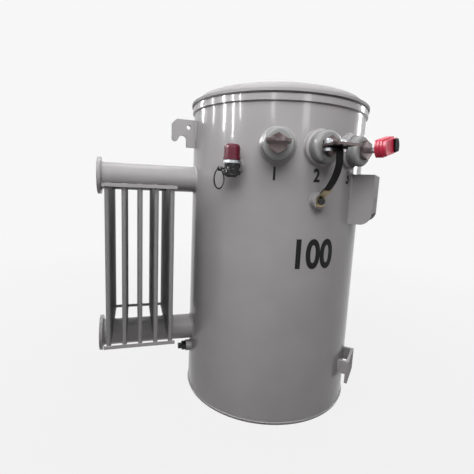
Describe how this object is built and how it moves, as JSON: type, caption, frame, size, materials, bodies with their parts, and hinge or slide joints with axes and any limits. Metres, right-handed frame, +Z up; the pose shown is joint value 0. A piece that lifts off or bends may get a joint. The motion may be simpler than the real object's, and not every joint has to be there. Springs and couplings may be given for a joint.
{
  "type": "pole mounted transformer",
  "caption": "Oil-filled single-phase distribution transformer in a round grey tank with domed cover, side radiator, sidewall bushings and pole hangers.",
  "frame": {"origin": "centre of the tank's flat base", "axes": "+Z up along the tank axis, -Y towards the middle low-voltage bushing, -X along the radiator headers"},
  "size_m": [1.026, 0.9676, 1.1235],
  "materials": {
    "grey_paint": "gloss",
    "gasket_rubber": "matte",
    "grey_glaze": "gloss",
    "tinned_copper": "satin",
    "red_plastic": "gloss",
    "black_plastic": "satin",
    "strap_sleeve": "satin",
    "bright_steel": "satin",
    "bronze": "satin",
    "red_cap": "satin",
    "black_wire": "satin",
    "black_iron": "matte"
  },
  "bodies": {
    "root": {"tank_shell": "grey_paint", "tank_base": "grey_paint", "tank_rim": "grey_paint", "tank_cover": "grey_paint", "lift_lug_left": "grey_paint", "lift_lug_right": "grey_paint", "header_upper": "grey_paint", "header_lower": "grey_paint", "blank_upper": "grey_paint", "blank_lower": "grey_paint", "panel_1": "grey_paint", "panel_2": "grey_paint", "panel_3": "grey_paint", "panel_4": "grey_paint", "panel_5": "grey_paint", "ties_upper": "grey_paint", "ties_lower": "grey_paint", "lv_flange_left": "grey_paint", "lv_flange_mid": "grey_paint", "lv_flange_right": "grey_paint", "valve_boss": "grey_paint", "ground_boss": "grey_paint", "hanger_upper": "grey_paint", "hanger_lower": "grey_paint", "drain_boss": "grey_paint", "hv_flange_left": "grey_paint", "hv_flange_right": "grey_paint", "cover_gasket": "gasket_rubber", "lv_insulator_left": "grey_glaze", "lv_insulator_mid": "grey_glaze", "lv_insulator_right": "grey_glaze", "hv_insulator_left": "grey_glaze", "hv_insulator_right": "grey_glaze", "lv_terminal_left": "tinned_copper", "lv_terminal_mid": "tinned_copper", "lv_terminal_right": "tinned_copper", "hv_terminal_left": "tinned_copper", "hv_terminal_right": "tinned_copper", "terminal_cap": "red_plastic", "terminal_cap_end": "black_plastic", "valve_body": "black_plastic", "ground_strap": "strap_sleeve", "strap_bolts": "bright_steel", "ground_lug": "bronze", "valve_cap": "red_cap", "valve_ring": "black_wire", "drain_plug": "black_iron", "ground_bolt": "black_iron"}
  },
  "joints": []
}
